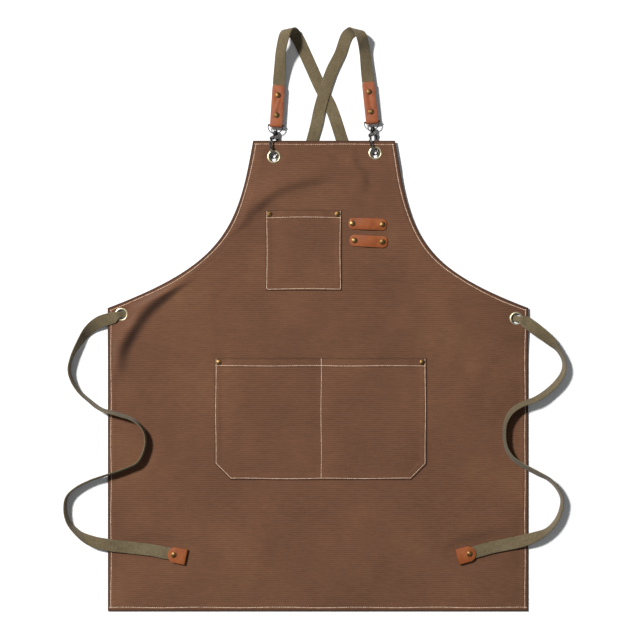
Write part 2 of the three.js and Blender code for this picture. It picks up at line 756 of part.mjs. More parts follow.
function waistTieRoute(side) {
  const eye = sideEyelets[side];
  const edge = side === 'left' ? -skirtHalf : skirtHalf;
  const inside = alongEndTab(side, endTabLength - leather - 2.4);
  const finish = [alongEndTab(side, -26), alongEndTab(side, -8), alongEndTab(side, 10), inside];
  const join = joinFromEyelet - 2 * clear;
  if (side === 'left') {
    return [
      [eye.x + join, eye.y + 17.9, strapOnTable], ...eyeletClimb(eye, -1),
      [edge - 12, -3, 10.4, 12], [edge - 30, -16, 9.2, 40], [edge - 46, -38, 10.4, 68],
      [edge - 58, -60, onEdge, 84], [edge - 63, -81, onEdge, 86], [edge - 59, -99, onEdge, 86],
      [edge - 47, -118, onEdge, 84], [edge - 29, -134.5, onEdge, 82], [edge - 10, -148, onEdgeOverCloth, 80],
      [edge + 20, -157, onEdgeOverCloth, 80], [edge + 44, -166, onEdgeOverCloth, 84],
      [edge + 60, -182, onEdgeOverCloth, 88], [edge + 64, -204, onEdgeOverCloth, 88],
      [edge + 52, -235, onEdgeOverCloth, 84], [edge + 27, -248, onEdgeOverCloth, 80],
      [edge - 6, -259, onEdgeOverCloth, 80], [edge - 27, -266, onEdge, 82], [edge - 51, -278, onEdge, 84],
      [edge - 66, -292, onEdge, 86], [edge - 70, -311, onEdge, 86], [edge - 65, -334, onEdge, 82],
      [edge - 47, -355, 10.4, 70], [edge - 26, -367, 9.4, 38], [edge + 2, -374, 7.4, 12],
      [edge + 35, -378, 6.6, 2], ...finish,
    ];
  }
  return [
    [eye.x - join, eye.y + 18.9, strapOnTable], ...eyeletClimb(eye, 1),
    [edge + 14, -17, 10.2, -12], [edge + 34, -33, 9, -40], [edge + 49, -50, onEdge, -76],
    [edge + 58, -68, onEdge, -82], [edge + 58, -84, onEdge, -78], [edge + 49, -101, onEdge, -72],
    [edge + 32, -118, onEdge, -70], [edge + 12, -131, onEdgeOverCloth, -70],
    [edge - 14, -141, onEdgeOverCloth, -72], [edge - 30, -153, onEdgeOverCloth, -76],
    [edge - 39, -170, onEdgeOverCloth, -82], [edge - 41, -192, onEdgeOverCloth, -84],
    [edge - 38, -211, onEdgeOverCloth, -82], [edge - 28, -228, onEdgeOverCloth, -76],
    [edge - 10, -241, onEdgeOverCloth, -70], [edge + 14, -254, onEdgeOverCloth, -70],
    [edge + 34, -265, onEdge, -74], [edge + 47, -279, onEdge, -80], [edge + 55, -297, onEdge, -84],
    [edge + 53, -316, onEdge, -84], [edge + 45, -334, onEdge, -82], [edge + 31, -349, onEdge + 0.6, -76],
    [edge + 10, -360, 11, -46], [edge - 14, -368, 8, -14], [edge - 42, -374, 6.8, -2],
    ...finish,
  ];
}

function endTab(side) {
  const folded = sidePlate(foldedLeather(endTabLength - leather, -5, 0.9, leatherGap), endTabWidth);
  const outline = roundedEnd(endTabWidth + 0.02, endTabLength + 2, 0, endTabWidth / 2);
  const body = toManifold(folded).intersect(toManifold(plate(outline, -8, 8)));
  const bored = body.subtract(toManifold(rivetBore(0, endTabRivet)));
  const tab = named(`${side}_end_tab`, toGeometry(bored), tanLeather);
  const group = new THREE.Group();
  group.position.set(endTabs[side].x, endTabs[side].y, endTabLevel);
  group.rotation.z = rad(endTabs[side].turn - 90);
  group.add(tab);
  group.add(placedRivet(`${side}_end_rivet`, 0, endTabRivet, leatherFace, 2 * leatherFace));
  return group;
}

function waistTie(side) {
  const band = strap(waistTieRoute(side), 88, sideEyelets[side]);
  const [x, y] = alongEndTab(side, endTabRivet);
  return named(`${side}_waist_tie`, cut(band, rivetBore(x, y)), webbing);
}

function shoulderStrap(side) {
  const other = side === 'left' ? 'right' : 'left';
  return named(`${side}_shoulder_strap`, strap(shoulderRoute(side), 84, sideEyelets[other]), webbing);
}

// ---------------------------------------------------------------- the apron

const apron = new THREE.Group();
apron.position.y = -(panelBottom + hemWidth / 2);
apron.add(apronPanel(), chestPocketPlate(), waistPocketPlate(), ...toolStrips.map(toolStrip));
for (const { name, x, y, grip } of pocketRivets()) {
  const level = name.startsWith('chest') ? waistLift : 0;
  apron.add(placedRivet(name, x, y, level + clothTop + touch + pocketCloth, grip));
}
for (const { name, x, y, grip } of stripRivets()) {
  apron.add(placedRivet(name, x, y, waistLift + clothTop + touch + stripThickness, grip));
}
for (const side of ['left', 'right']) {
  apron.add(eyelet(`${side}_bib_eyelet`, bibEyelets[side], bibLift));
  apron.add(washer(`${side}_bib_washer`, bibEyelets[side], bibLift));
  apron.add(eyelet(`${side}_side_eyelet`, sideEyelets[side], waistLift));
  apron.add(washer(`${side}_side_washer`, sideEyelets[side], waistLift));
  apron.add(hanger(side), shoulderStrap(side), waistTie(side), endTab(side));
}

export default apron;
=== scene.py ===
# A canvas bib apron laid out on a table, face up.
import json
import math
import random

import bmesh
import bpy
import numpy as np
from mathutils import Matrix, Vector


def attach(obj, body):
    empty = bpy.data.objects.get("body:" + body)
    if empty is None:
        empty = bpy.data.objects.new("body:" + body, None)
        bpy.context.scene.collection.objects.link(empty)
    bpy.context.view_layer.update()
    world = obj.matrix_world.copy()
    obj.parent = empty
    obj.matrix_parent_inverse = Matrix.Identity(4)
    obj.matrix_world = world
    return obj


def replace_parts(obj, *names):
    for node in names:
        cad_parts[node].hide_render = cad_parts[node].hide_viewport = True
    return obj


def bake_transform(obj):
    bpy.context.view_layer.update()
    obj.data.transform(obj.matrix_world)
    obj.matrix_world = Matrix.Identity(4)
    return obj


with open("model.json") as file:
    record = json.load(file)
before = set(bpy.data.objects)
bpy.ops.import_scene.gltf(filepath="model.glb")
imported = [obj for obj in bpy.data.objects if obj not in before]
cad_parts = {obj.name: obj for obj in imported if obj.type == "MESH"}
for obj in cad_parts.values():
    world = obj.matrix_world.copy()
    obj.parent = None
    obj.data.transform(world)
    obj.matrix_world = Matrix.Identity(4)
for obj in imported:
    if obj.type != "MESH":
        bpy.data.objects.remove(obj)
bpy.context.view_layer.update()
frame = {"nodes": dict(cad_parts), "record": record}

# ---------------------------------------------------------------- sizes, in millimetres
# Places are given from the middle of the waist; the frame's origin is the bottom hem.
MM = 0.001
HEM_TO_WAIST = 479.0
SKIRT_HALF, SKIRT_TOP, SKIRT_BOTTOM = 350.0, 20.0, -485.0
BIB_TOP, BIB_HALF, BIB_SHIFT = 298.0, 118.0, 10.0
CLOTH, HEM_FOLD, HEM_WIDTH = 1.2, 1.2, 12.0
CLOTH_TOP = CLOTH + HEM_FOLD
POCKET_CLOTH, TOUCH, CLEAR = 1.0, 0.2, 0.35
WEB_WIDTH, WEB_THICK = 20.0, 1.8
GATHER_WIDTH, GATHER_THICK, GATHER_LENGTH = 9.4, 2.2, 11.5
WAIST_LIFT, BIB_LIFT = 3.0, 5.7
HOOK_AXIS = 9.504
HOOK_TAB_TOP, END_TAB_LENGTH, LEATHER = 118.5, 31.0, 1.6
STRAP_ON_TABLE = WEB_THICK / 2 + 0.1
EYELET_FLANGE_HEIGHT = 1.1
BIB_EYELETS = {"left": (-73.2, 271.3, -3.8), "right": (95.3, 277.2, 6.0)}
SIDE_EYELETS = {"left": (-327.0, 9.2), "right": (330.0, 2.3)}
END_TABS = {"left": (-250.0, -388.0, -11.5), "right": (262.0, -385.5, 195.6)}
CHEST_POCKET = dict(left=-87.0, right=39.0, top=182.5, bottom=49.5, cut=0.0, hem=12.0, seams=())
WAIST_POCKET = dict(left=-172.0, right=180.5, top=-63.5, bottom=-265.5, cut=26.0, hem=12.5, seams=(5.3,))
POCKET_FOLD = 1.0  # the turned-in edge of a pocket adds this to its height
POCKET_RIVET = 6.75  # from both edges of a pocket to the middle of its corner rivet
ARMHOLE_ROWS = 94
OUTLINE_STEP = 4.0
EDGE_STEPS = (0.6, 1.5, 3.0, 4.5, 6.0, 7.5, 9.5, 12.0, 15.0, 19.0)  # a sheet's rows near its edges
EYELET_HOLE, EYELET_SNAP, EYELET_REACH = 9.0, 9.3, 16.0  # cloth cut away, opening, cloth moved
TIE_MEETS_CLOTH = -90.0  # below this a waist tie may stand on the panel
NEAR_TAB, NEAR_TURN = 58.0, 92.0  # where a strap is parted, from the end of its hook tab
# The front of each shoulder strap: past the hook tab, rise, lean
FRONT_LEG = {
    "left": ((0, 0, 0), (8, 0.3, 3), (28, 3.6, 18), (50, 11, 30)),
    "right": ((0, 0, 0), (8, 0.1, -3), (28, 0.8, -15), (50, 2.2, -20)),
}
LIFT_STEPS = [(-505, 0), (-56, 0), (-14, WAIST_LIFT), (234, WAIST_LIFT), (254, BIB_LIFT), (330, BIB_LIFT)]


# ---------------------------------------------------------------- camera
SENSOR_WIDTH, LENS = 36.0, 85.0
VIEW_WIDTH, VIEW_MIDDLE = 1.0667, 0.0033  # metres across the view, and how far right it is aimed


def aim_camera():
    """Straight down on the middle of the apron, through a long lens."""
    camera = bpy.data.cameras.new("camera")
    camera.sensor_width = SENSOR_WIDTH
    camera.lens = LENS
    stand = bpy.data.objects.new("camera", camera)
    stand.location = (VIEW_MIDDLE, HEM_TO_WAIST * MM, VIEW_WIDTH * LENS / SENSOR_WIDTH)
    bpy.context.scene.collection.objects.link(stand)
    bpy.context.scene.camera = stand


aim_camera()


# ---------------------------------------------------------------- curves
CENTRIPETAL = 0.25  # the power of a squared distance that spaces the knots


def smooth_curve(points, at):
    """A centripetal Catmull-Rom curve through points, read at shares of its knots."""
    points = np.asarray(points, float)
    last = len(points) - 1
    share = np.clip(np.asarray(at, float), 0, 1) * last
    i = np.minimum(share.astype(int), last - 1)
    w = (share - i)[:, None]
    ahead = np.vstack([2 * points[0] - points[1], points, 2 * points[-1] - points[-2]])
    p0, p1, p2, p3 = ahead[i], ahead[i + 1], ahead[i + 2], ahead[i + 3]

    def gap(a, b):
        return np.maximum((((a - b) ** 2).sum(1) ** CENTRIPETAL)[:, None], 1e-4)

    d0, d1, d2 = gap(p0, p1), gap(p1, p2), gap(p2, p3)
    t1 = ((p1 - p0) / d0 - (p2 - p0) / (d0 + d1) + (p2 - p1) / d1) * d1
    t2 = ((p2 - p1) / d1 - (p3 - p1) / (d1 + d2) + (p3 - p2) / d2) * d1
    return p1 + t1 * w + (3 * (p2 - p1) - 2 * t1 - t2) * w**2 + (2 * (p1 - p2) + t1 + t2) * w**3


def unit(v):
    return v / np.maximum(np.linalg.norm(v, axis=1, keepdims=True), 1e-12)


def bezier(p0, p1, p2, p3, t):
    t = np.asarray(t, float)[:, None]
    p0, p1, p2, p3 = (np.asarray(p, float) for p in (p0, p1, p2, p3))
    return p0 * (1 - t) ** 3 + 3 * p1 * t * (1 - t) ** 2 + 3 * p2 * t**2 * (1 - t) + p3 * t**3


def ease(x):
    x = np.clip(x, 0, 1)
    return x * x * (3 - 2 * x)


def walked_along(path):
    """How far along a flat path each of its points lies."""
    return np.r_[0, np.cumsum(np.hypot(*np.diff(path, axis=0).T))]


def distance_to_path(x, y, path):
    """How far each point lies from a path of straight pieces, how far along, and on which side."""
    best = np.full(x.shape, 1e9)
    along = np.zeros(x.shape)
    signed = np.zeros(x.shape)
    walked = 0.0
    for (x0, y0), (x1, y1) in zip(path[:-1], path[1:]):
        dx, dy = x1 - x0, y1 - y0
        length = math.hypot(dx, dy)
        t = np.clip(((x - x0) * dx + (y - y0) * dy) / length**2, 0, 1)
        away = np.hypot(x - x0 - t * dx, y - y0 - t * dy)
        nearer = away < best
        side = np.sign(dx * (y - y0) - dy * (x - x0))
        best = np.where(nearer, away, best)
        along = np.where(nearer, walked + t * length, along)
        signed = np.where(nearer, side * away, signed)
        walked += length
    return best, along / walked, signed


# ---------------------------------------------------------------- how the cloth lies
def armhole_point(side, t):
    """Points of one armhole, from the bib's corner at t = 0 down to the skirt's at t = 1."""
    corner = BIB_SHIFT + side * BIB_HALF
    return bezier(
        (corner, BIB_TOP), (corner + side * 25.5, BIB_TOP - 150),
        (side * (SKIRT_HALF - 190), SKIRT_TOP + 72), (side * SKIRT_HALF, SKIRT_TOP), t,
    )


def armhole_steps():
    """The values of t that are evenly spaced along the left armhole."""
    t = np.linspace(0, 1, 400)
    walked = walked_along(armhole_point(-1, t))
    return np.interp(np.linspace(0, 1, ARMHOLE_ROWS), walked / walked[-1], t)


def panel_edge(side):
    """One side of the panel from the bib's corner to the bottom hem."""
    arm = armhole_point(side, armhole_steps())
    down = np.r_[np.arange(SKIRT_TOP - OUTLINE_STEP, SKIRT_BOTTOM, -OUTLINE_STEP), SKIRT_BOTTOM]
    return np.vstack([arm, [(side * SKIRT_HALF, y) for y in down]])


LEFT_EDGE, RIGHT_EDGE = panel_edge(-1), panel_edge(1)

# Each crease runs along a path, rises gently on one side and drops on the other.
# path, height, gentle side's width, steep side's width
CREASES = [
    ([(-196, 92), (-236, 66), (-262, 44), (-290, 18), (-314, -16), (-331, -50), (-338, -110)], 16.0, 26, 20),
    ([(40, 250), (0, 239), (-38, 230), (-73, 216), (-96, 199), (-120, 180), (-150, 152)], 6.2, 34, 17),
    ([(-104, 176), (-136, 156), (-162, 138)], 3.4, 20, 13),
    ([(150, 236), (158, 190), (182, 130), (214, 84)], 2.6, 30, 16),
    ([(50, 286), (58, 258), (72, 236), (74, 208)], 4.2, 26, 15),
    ([(300, -30), (262, -96), (246, -170)], 2.0, 46, 26),
    ([(-318, -96), (-292, -150), (-250, -196)], 1.8, 44, 26),
    ([(210, 46), (228, -30), (214, -110)], 1.6, 40, 26),
    ([(-196, -20), (-150, -44), (-96, -48)], 1.2, 30, 18),
    ([(-330, -300), (-260, -352), (-150, -372)], 1.6, 50, 34),
    ([(334, -310), (280, -352), (190, -380)], 1.8, 46, 30),
    ([(60, -300), (96, -372), (82, -450)], 1.4, 50, 34),
    ([(-120, -300), (-96, -380), (-126, -452)], 1.3, 46, 34),
]


def low_waves(x, y):
    """The slow unevenness of heavy cloth that isn't pressed flat."""
    total = np.zeros_like(x)
    for kx, ky, phase, height in (  # radians for each millimetre, radians, millimetres
        (0.021, 0.013, 0.4, 0.75), (-0.017, 0.024, 1.9, 0.7), (0.031, -0.022, 3.1, 0.45),
        (0.008, 0.038, 5.0, 0.45), (0.046, 0.018, 2.2, 0.26), (-0.039, 0.041, 0.9, 0.24),
        (0.071, -0.052, 4.1, 0.10), (0.058, 0.083, 1.2, 0.08),
    ):
        bend = 0.6 * np.sin(0.011 * y + phase) + 0.5 * np.sin(0.009 * x - phase)
        total += height * np.sin(kx * x + ky * y + phase + bend)
    return total


def still_places():
    """Where hardware or a strap holds the cloth flat: x, y, radius."""
    spots = [(x, y, 19) for x, y, _ in BIB_EYELETS.values()]
    spots += [(x, y, 19) for x, y in SIDE_EYELETS.values()]
    for pocket in (CHEST_POCKET, WAIST_POCKET):
        for x in (pocket["left"] + 7, pocket["right"] - 7):
            spots.append((x, pocket["top"] - 7, 16))
    # under the two tool strips
    spots += [(60, 160, 22), (82, 160, 22), (106, 160, 22), (62, 131, 22), (84, 131, 22), (106, 131, 22)]
    for x, y, turn in END_TABS.values():
        for along in (0, 15, 30, -25):
            a = math.radians(turn)
            spots.append((x + along * math.cos(a), y + along * math.sin(a), 24))
    return spots


def lift(y):
    """How high the panel is carried by the straps and hooks under it."""
    return np.interp(y, *zip(*LIFT_STEPS))


def rough_lift(y):
    """The same lift with its corners eased off, never below it."""
    return np.maximum(lift(y), (lift(y - 6) + lift(y + 6) + lift(y - 12) + lift(y + 12)) / 4)


def tie_on_cloth(x, y):
    """1 away from the waist ties, 0 where one stands on the cloth."""
    hold = np.ones_like(x)
    for side in ("left", "right"):
        path = [(p[0], p[1]) for p in waist_tie_route(side) if p[1] < TIE_MEETS_CLOTH]
        away, _, _ = distance_to_path(x, y, path)
        hold *= ease(away / 26 - 0.15)
    return hold


def cloth_wrinkles(x, y):
    """Waves and creases, which die away where something holds the cloth down."""
    height = low_waves(x, y) * 0.9 + 1.2
    for path, top, gentle, steep in CREASES:
        path = smooth_curve(path, np.linspace(0, 1, 24))
        away, along, signed = distance_to_path(x, y, path)
        reach = np.where(signed > 0, steep, gentle)
        ends = ease(along / 0.3) * ease((1 - along) / 0.3)
        height += top * ends * (1 - ease(away / reach))
    hold = tie_on_cloth(x, y)
    for sx, sy, radius in still_places():
        hold = hold * (1 - np.exp(-(((x - sx) ** 2 + (y - sy) ** 2) / radius**2) ** 2))
    return np.maximum(height, 0) * hold


# ---------------------------------------------------------------- strap routes
def along_hanger(side, distance):
    """On the line from a bib eyelet through its hook and tab."""
    x, y, turn = BIB_EYELETS[side]
    a = math.radians(turn)
    return x - distance * math.sin(a), y + distance * math.cos(a)


def turned(vector, axis, degrees):
    """A vector turned about an axis of unit length."""
    a = math.radians(degrees)
    aside = np.cross(axis, vector)
    return vector * math.cos(a) + aside * math.sin(a) + axis * vector.dot(axis) * (1 - math.cos(a))


def turn_over(x, y, axis, advance, lean, radius=15.0, base=STRAP_ON_TABLE + 0.6):
    """Half a turn: up one side, over, and back below. Places and the way the strap faces."""
    a = math.radians(axis)
    on = np.array((math.cos(a), math.sin(a), 0.0))
    out = np.array((-on[1] * np.sign(on[0]), abs(on[0]), 0.0))
    stations = []
    for i in range(7):
        turn = math.pi * i / 6
        face = out * math.sin(turn) + np.array((0, 0, math.cos(turn)))
        place = np.array((x, y, base + radius)) + on * advance * (i / 6 - 0.5) + face * radius
        onward = out * math.cos(turn) - np.array((0, 0, math.sin(turn)))
        stations.append((*place, turned(face, onward, lean * max(0, 1 - i / 3))))
    return stations


def shoulder_route(side):
    """From the hook tab up, over, down behind the bib and out towards the other side's eyelet."""
    start = HOOK_TAB_TOP + 0.6 + CLEAR
    front = []
    for past, rise, lean in FRONT_LEG[side]:
        front.append((*along_hanger(side, start + past), HOOK_AXIS + rise, lean))
    flat = STRAP_ON_TABLE
    crossing = STRAP_ON_TABLE + WEB_THICK + CLEAR
    top = BIB_TOP
    if side == "left":
        x, y = SIDE_EYELETS["right"]
        return front + turn_over(-45, top + 169, 9.5, 23, -28) + [
            (-15, top + 131, flat, 180), (4, top + 89, flat, 180), (21, top + 57, flat, 180),
            (40, top + 1, flat, 180), (60, top - 62, flat, 180), (92, top - 140, flat, 180),
            (148, top - 205, flat, 180), (x - 110, y + 46, flat, 180), (x - 52, y + 19, flat, 180),
        ]
    x, y = SIDE_EYELETS["left"]
    return front + turn_over(60, top + 172, 168.0, 25, 26, radius=12.0) + [
        (37, top + 145, flat + 0.6, 180), (23.5, top + 118, crossing, 180), (12.5, top + 87, crossing, 180),
        (2, top + 50, crossing, 180), (-2.5, top + 28, crossing, 180), (-9.5, top + 1, flat + 0.6, 180),
        (-26, top - 62, flat, 180), (-60, top - 145, flat, 180), (-118, top - 205, flat, 180),
        (x + 112, y + 44, flat, 180), (x + 52, y + 18, flat, 180),
    ]


def eyelet_climb(side, outward):
    """Up through a side eyelet from below."""
    x, y = SIDE_EYELETS[side]
    low = GATHER_THICK / 2 + 0.3
    high = WAIST_LIFT + CLOTH_TOP + TOUCH + EYELET_FLANGE_HEIGHT + GATHER_THICK / 2 + CLEAR
    return [
        (x - outward * 16, y + 4, low, 0), (x - outward * 5.6, y + 1.2, low + 0.2, 0),
        (x + outward * 6.4, y - 1.5, high + 0.6, 0), (x + outward * 16, y - 6, high, 0),
    ]


def along_end_tab(side, distance):
    x, y, turn = END_TABS[side]
    a = math.radians(turn)
    level = CLOTH_TOP + WEB_THICK / 2 + TOUCH + LEATHER + TOUCH + 0.8 + CLEAR
    return (x + distance * math.cos(a), y + distance * math.sin(a), level, 0)


def waist_tie_route(side):
    """A waist tie standing on its edge, in and out over the panel's side, to its end tab."""
    on_edge = WEB_WIDTH / 2 + 0.4
    over = on_edge + CLOTH_TOP
    finish = [along_end_tab(side, d) for d in (-26, -8, 10, END_TAB_LENGTH - LEATHER - 2.4)]
    e = -SKIRT_HALF if side == "left" else SKIRT_HALF
    if side == "left":
        lie = [
            (e - 12, -3, 10.4, 12), (e - 30, -16, 9.2, 40), (e - 46, -38, 10.4, 68),
            (e - 58, -60, on_edge, 84), (e - 63, -81, on_edge, 86), (e - 59, -99, on_edge, 86),
            (e - 47, -118, on_edge, 84), (e - 29, -134.5, on_edge, 82), (e - 10, -148, over, 80),
            (e + 20, -157, over, 80), (e + 44, -166, over, 84), (e + 60, -182, over, 88),
            (e + 64, -204, over, 88), (e + 52, -235, over, 84), (e + 27, -248, over, 80),
            (e - 6, -259, over, 80), (e - 27, -266, on_edge, 82), (e - 51, -278, on_edge, 84),
            (e - 66, -292, on_edge, 86), (e - 70, -311, on_edge, 86), (e - 65, -334, on_edge, 82),
            (e - 47, -355, 10.4, 70), (e - 26, -367, 9.4, 38), (e + 2, -374, 7.4, 12),
            (e + 35, -378, 6.6, 2),
        ]
        return eyelet_climb(side, -1) + lie + finish
    lie = [
        (e + 14, -17, 10.2, -12), (e + 34, -33, 9, -40), (e + 49, -50, on_edge, -76),
        (e + 58, -68, on_edge, -82), (e + 58, -84, on_edge, -78), (e + 49, -101, on_edge, -72),
        (e + 32, -118, on_edge, -70), (e + 12, -131, over, -70), (e - 14, -141, over, -72),
        (e - 30, -153, over, -76), (e - 39, -170, over, -82), (e - 41, -192, over, -84),
        (e - 38, -211, over, -82), (e - 28, -228, over, -76), (e - 10, -241, over, -70),
        (e + 14, -254, over, -70), (e + 34, -265, on_edge, -74), (e + 47, -279, on_edge, -80),
        (e + 55, -297, on_edge, -84), (e + 53, -316, on_edge, -84), (e + 45, -334, on_edge, -82),
        (e + 31, -349, on_edge + 0.6, -76), (e + 10, -360, 11, -46), (e - 14, -368, 8, -14),
        (e - 42, -374, 6.8, -2),
    ]
    return eyelet_climb(side, 1) + lie + finish


def strap_stations(side, start, end, step_length=2.5):
    """A strap between two distances from its hook tab: its middle, the way it runs, the way it
    faces, how far it is gathered, and the distances."""
    other = "right" if side == "left" else "left"
    tie = [(x, y, z, lean + 180) for x, y, z, lean in waist_tie_route(other)]
    route = shoulder_route(side)[:-1] + tie
    places = np.array([p[:3] for p in route], float)
    knots = np.linspace(0, 1, len(route))
    step = 1e-4
    runs = unit(smooth_curve(places, knots + step) - smooth_curve(places, knots - step))
    faces = []
    for entry, run in zip(route, runs):
        if isinstance(entry[3], np.ndarray):
            faces.append(entry[3])
            continue
        across = unit(np.cross((0, 0, 1), run)[None])[0]
        up = unit(np.cross(run, across)[None])[0]
        a = math.radians(entry[3])
        faces.append(up * math.cos(a) + across * math.sin(a))
    fine = np.linspace(0, 1, 6000)
    walked = np.r_[0, np.cumsum(np.linalg.norm(np.diff(smooth_curve(places, fine), axis=0), axis=1))]
    end = min(end, walked[-1])
    at = np.linspace(start, end, max(2, int((end - start) / step_length)))
    t = np.interp(at, walked, fine)
    middle = smooth_curve(places, t)
    run = unit(smooth_curve(places, t + step) - smooth_curve(places, t - step))
    face = smooth_curve(np.array(faces), t)
    face = unit(face - run * (face * run).sum(1)[:, None])
    eye = np.array((*SIDE_EYELETS[other], 4.0))
    gather = np.exp(-((np.linalg.norm(middle - eye, axis=1) / GATHER_LENGTH) ** 4))
    return middle, run, face, gather, at


# ---------------------------------------------------------------- finishes
def linear(hex_colour):
    """An sRGB hex colour as the linear value that shaders take."""
    parts = [int(hex_colour[i:i + 2], 16) / 255 for i in (1, 3, 5)]
    return (*(p / 12.92 if p <= 0.04045 else ((p + 0.055) / 1.055) ** 2.4 for p in parts), 1.0)


def node(tree, kind, links=(), settings=(), **inputs):
    """Adds one node, sets it, and links what feeds it."""
    made = tree.nodes.new(kind)
    for key, value in dict(settings).items():
        setattr(made, key, value)
    for key, value in inputs.items():
        made.inputs[key.replace("_", " ")].default_value = value
    for socket, source in dict(links).items():
        tree.links.new(source, made.inputs[socket])
    return made


def new_finish(name, **surface):
    material = bpy.data.materials.new(name)
    material.use_nodes = True
    tree = material.node_tree
    shader = tree.nodes["Principled BSDF"]
    for key, value in surface.items():
        shader.inputs[key.replace("_", " ")].default_value = value
    return material, tree, shader


def ramp(tree, source, *stops):
    made = node(tree, "ShaderNodeValToRGB", {"Fac": source})
    elements = made.color_ramp.elements
    while len(elements) < len(stops):
        elements.new(0.5)
    for element, (place, colour) in zip(elements, stops):
        element.position = place
        element.color = linear(colour) if isinstance(colour, str) else (colour, colour, colour, 1)
    return made.outputs["Color"]


def scaled(tree, coordinates, x, y, z):
    return node(tree, "ShaderNodeMapping", {"Vector": coordinates}, Scale=(x, y, z)).outputs["Vector"]


def object_place(tree):
    return node(tree, "ShaderNodeTexCoord").outputs["Object"]


def noise(tree, at, **inputs):
    return node(tree, "ShaderNodeTexNoise", {"Vector": at}, **inputs).outputs["Fac"]


MIX_FACTOR, MIX_A, MIX_B, MIX_RESULT = 0, 6, 7, 2  # a Mix node's colour sockets


def multiplied(tree, colour, *tones):
    """A colour multiplied by one tone after another."""
    for tone in tones:
        mix = node(
            tree, "ShaderNodeMix", {MIX_A: colour, MIX_B: tone},
            {"data_type": "RGBA", "blend_type": "MULTIPLY"},
        )
        mix.inputs[MIX_FACTOR].default_value = 1.0
        colour = mix.outputs[MIX_RESULT]
    return colour


def bumped(tree, shader, height, strength, distance):
    bump = node(tree, "ShaderNodeBump", {"Height": height}, Strength=strength, Distance=distance)
    tree.links.new(bump.outputs["Normal"], shader.inputs["Normal"])


CANVAS_RIB = 3.3  # millimetres


def canvas_finish(name, dark, middle, light):
    """Duck cotton canvas: plain weave, so it is matt, with a rib across it where the weft
    yarns bunch, slubs in the yarn and a faintly uneven dye. Single yarns are under 1 mm,
    too fine to show, so the rib is drawn at the 3 mm at which it can be seen. Painted
    shade darkens it where its edges turn under and along the hem's stitching groove."""
    material, tree, shader = new_finish(
        name, Roughness=0.93, Specular_IOR_Level=0.18, Sheen_Weight=0.12, Sheen_Roughness=0.5,
    )
    place = object_place(tree)
    weft = node(
        tree, "ShaderNodeTexWave", {"Vector": place}, {"bands_direction": "Y", "wave_profile": "SIN"},
        Scale=math.pi / 10 * 1000 / CANVAS_RIB, Distortion=3.6, Detail=2.0, Detail_Scale=0.12,
        Detail_Roughness=0.5,
    ).outputs["Fac"]
    slubs = noise(tree, scaled(tree, place, 70, 560, 70), Scale=1.0, Detail=3.0, Roughness=0.62)
    yarns = noise(tree, scaled(tree, place, 560, 300, 300), Scale=1.0, Detail=2.0)
    dye = noise(tree, place, Scale=7.0, Detail=4.0, Roughness=0.6)
    # painted shade: darkens the canvas where its edges turn under, along pocket edges and in the hem's
    # stitching groove
    fold = node(tree, "ShaderNodeAttribute", (), {"attribute_name": "painted_edge_shade"}).outputs["Fac"]
    toned = multiplied(
        tree, ramp(tree, dye, (0.3, dark), (0.52, middle), (0.74, light)),
        ramp(tree, weft, (0.0, 0.86), (1.0, 1.10)), ramp(tree, slubs, (0.3, 0.88), (0.7, 1.12)),
        ramp(tree, yarns, (0.3, 0.93), (0.7, 1.05)), ramp(tree, fold, (0.0, 1.0), (1.0, 0.34)),
    )
    tree.links.new(toned, shader.inputs["Base Color"])
    relief = node(tree, "ShaderNodeMath", {0: weft, 1: slubs}, {"operation": "ADD"}).outputs[0]
    bumped(tree, shader, relief, 0.35, 0.0004)
    return material


def webbing_finish():
    """Cotton webbing: thick weft picks across it over finer warp cords along it. It is matt,
    a little paler on the crown of each pick, and unevenly faded."""
    material, tree, shader = new_finish(
        "cotton_webbing", Roughness=0.9, Specular_IOR_Level=0.2, Sheen_Weight=0.1,
    )
    way = node(tree, "ShaderNodeUVMap", (), {"uv_map": "UVMap"}).outputs["UV"]
    picks = noise(tree, scaled(tree, way, 160, 620, 1), Scale=1.0, Detail=2.0, Roughness=0.6)
    cords = noise(tree, scaled(tree, way, 900, 60, 1), Scale=1.0, Detail=1.0)
    wear = noise(tree, scaled(tree, way, 20, 14, 1), Scale=1.0, Detail=3.0)
    toned = multiplied(
        tree, ramp(tree, wear, (0.3, "#574C37"), (0.5, "#62563F"), (0.7, "#6E624B")),
        ramp(tree, picks, (0.32, 0.72), (0.68, 1.12)), ramp(tree, cords, (0.3, 0.86), (0.7, 1.08)),
    )
    tree.links.new(toned, shader.inputs["Base Color"])
    bumped(tree, shader, picks, 0.5, 0.0005)
    return material


def leather_finish(name, dark, middle, light):
    """Orange-tan full-grain leather, dyed through and cut raw: a satin face with fine
    pores and a soft mottle from the tanning, duller where it is lighter."""
    material, tree, shader = new_finish(name, Roughness=0.56, Specular_IOR_Level=0.22)
    place = object_place(tree)
    mottle = noise(tree, place, Scale=70.0, Detail=4.0)
    pores = node(
        tree, "ShaderNodeTexVoronoi", {"Vector": place}, {"feature": "DISTANCE_TO_EDGE"}, Scale=900.0,
    ).outputs["Distance"]
    toned = multiplied(
        tree, ramp(tree, mottle, (0.25, dark), (0.5, middle), (0.78, light)),
        ramp(tree, pores, (0.0, 0.86), (0.2, 1.0)),
    )
    tree.links.new(toned, shader.inputs["Base Color"])
    tree.links.new(ramp(tree, mottle, (0.3, 0.5), (0.7, 0.64)), shader.inputs["Roughness"])
    bumped(tree, shader, pores, 0.25, 0.0003)
    return material


TARNISH_ROUGHER = 0.14


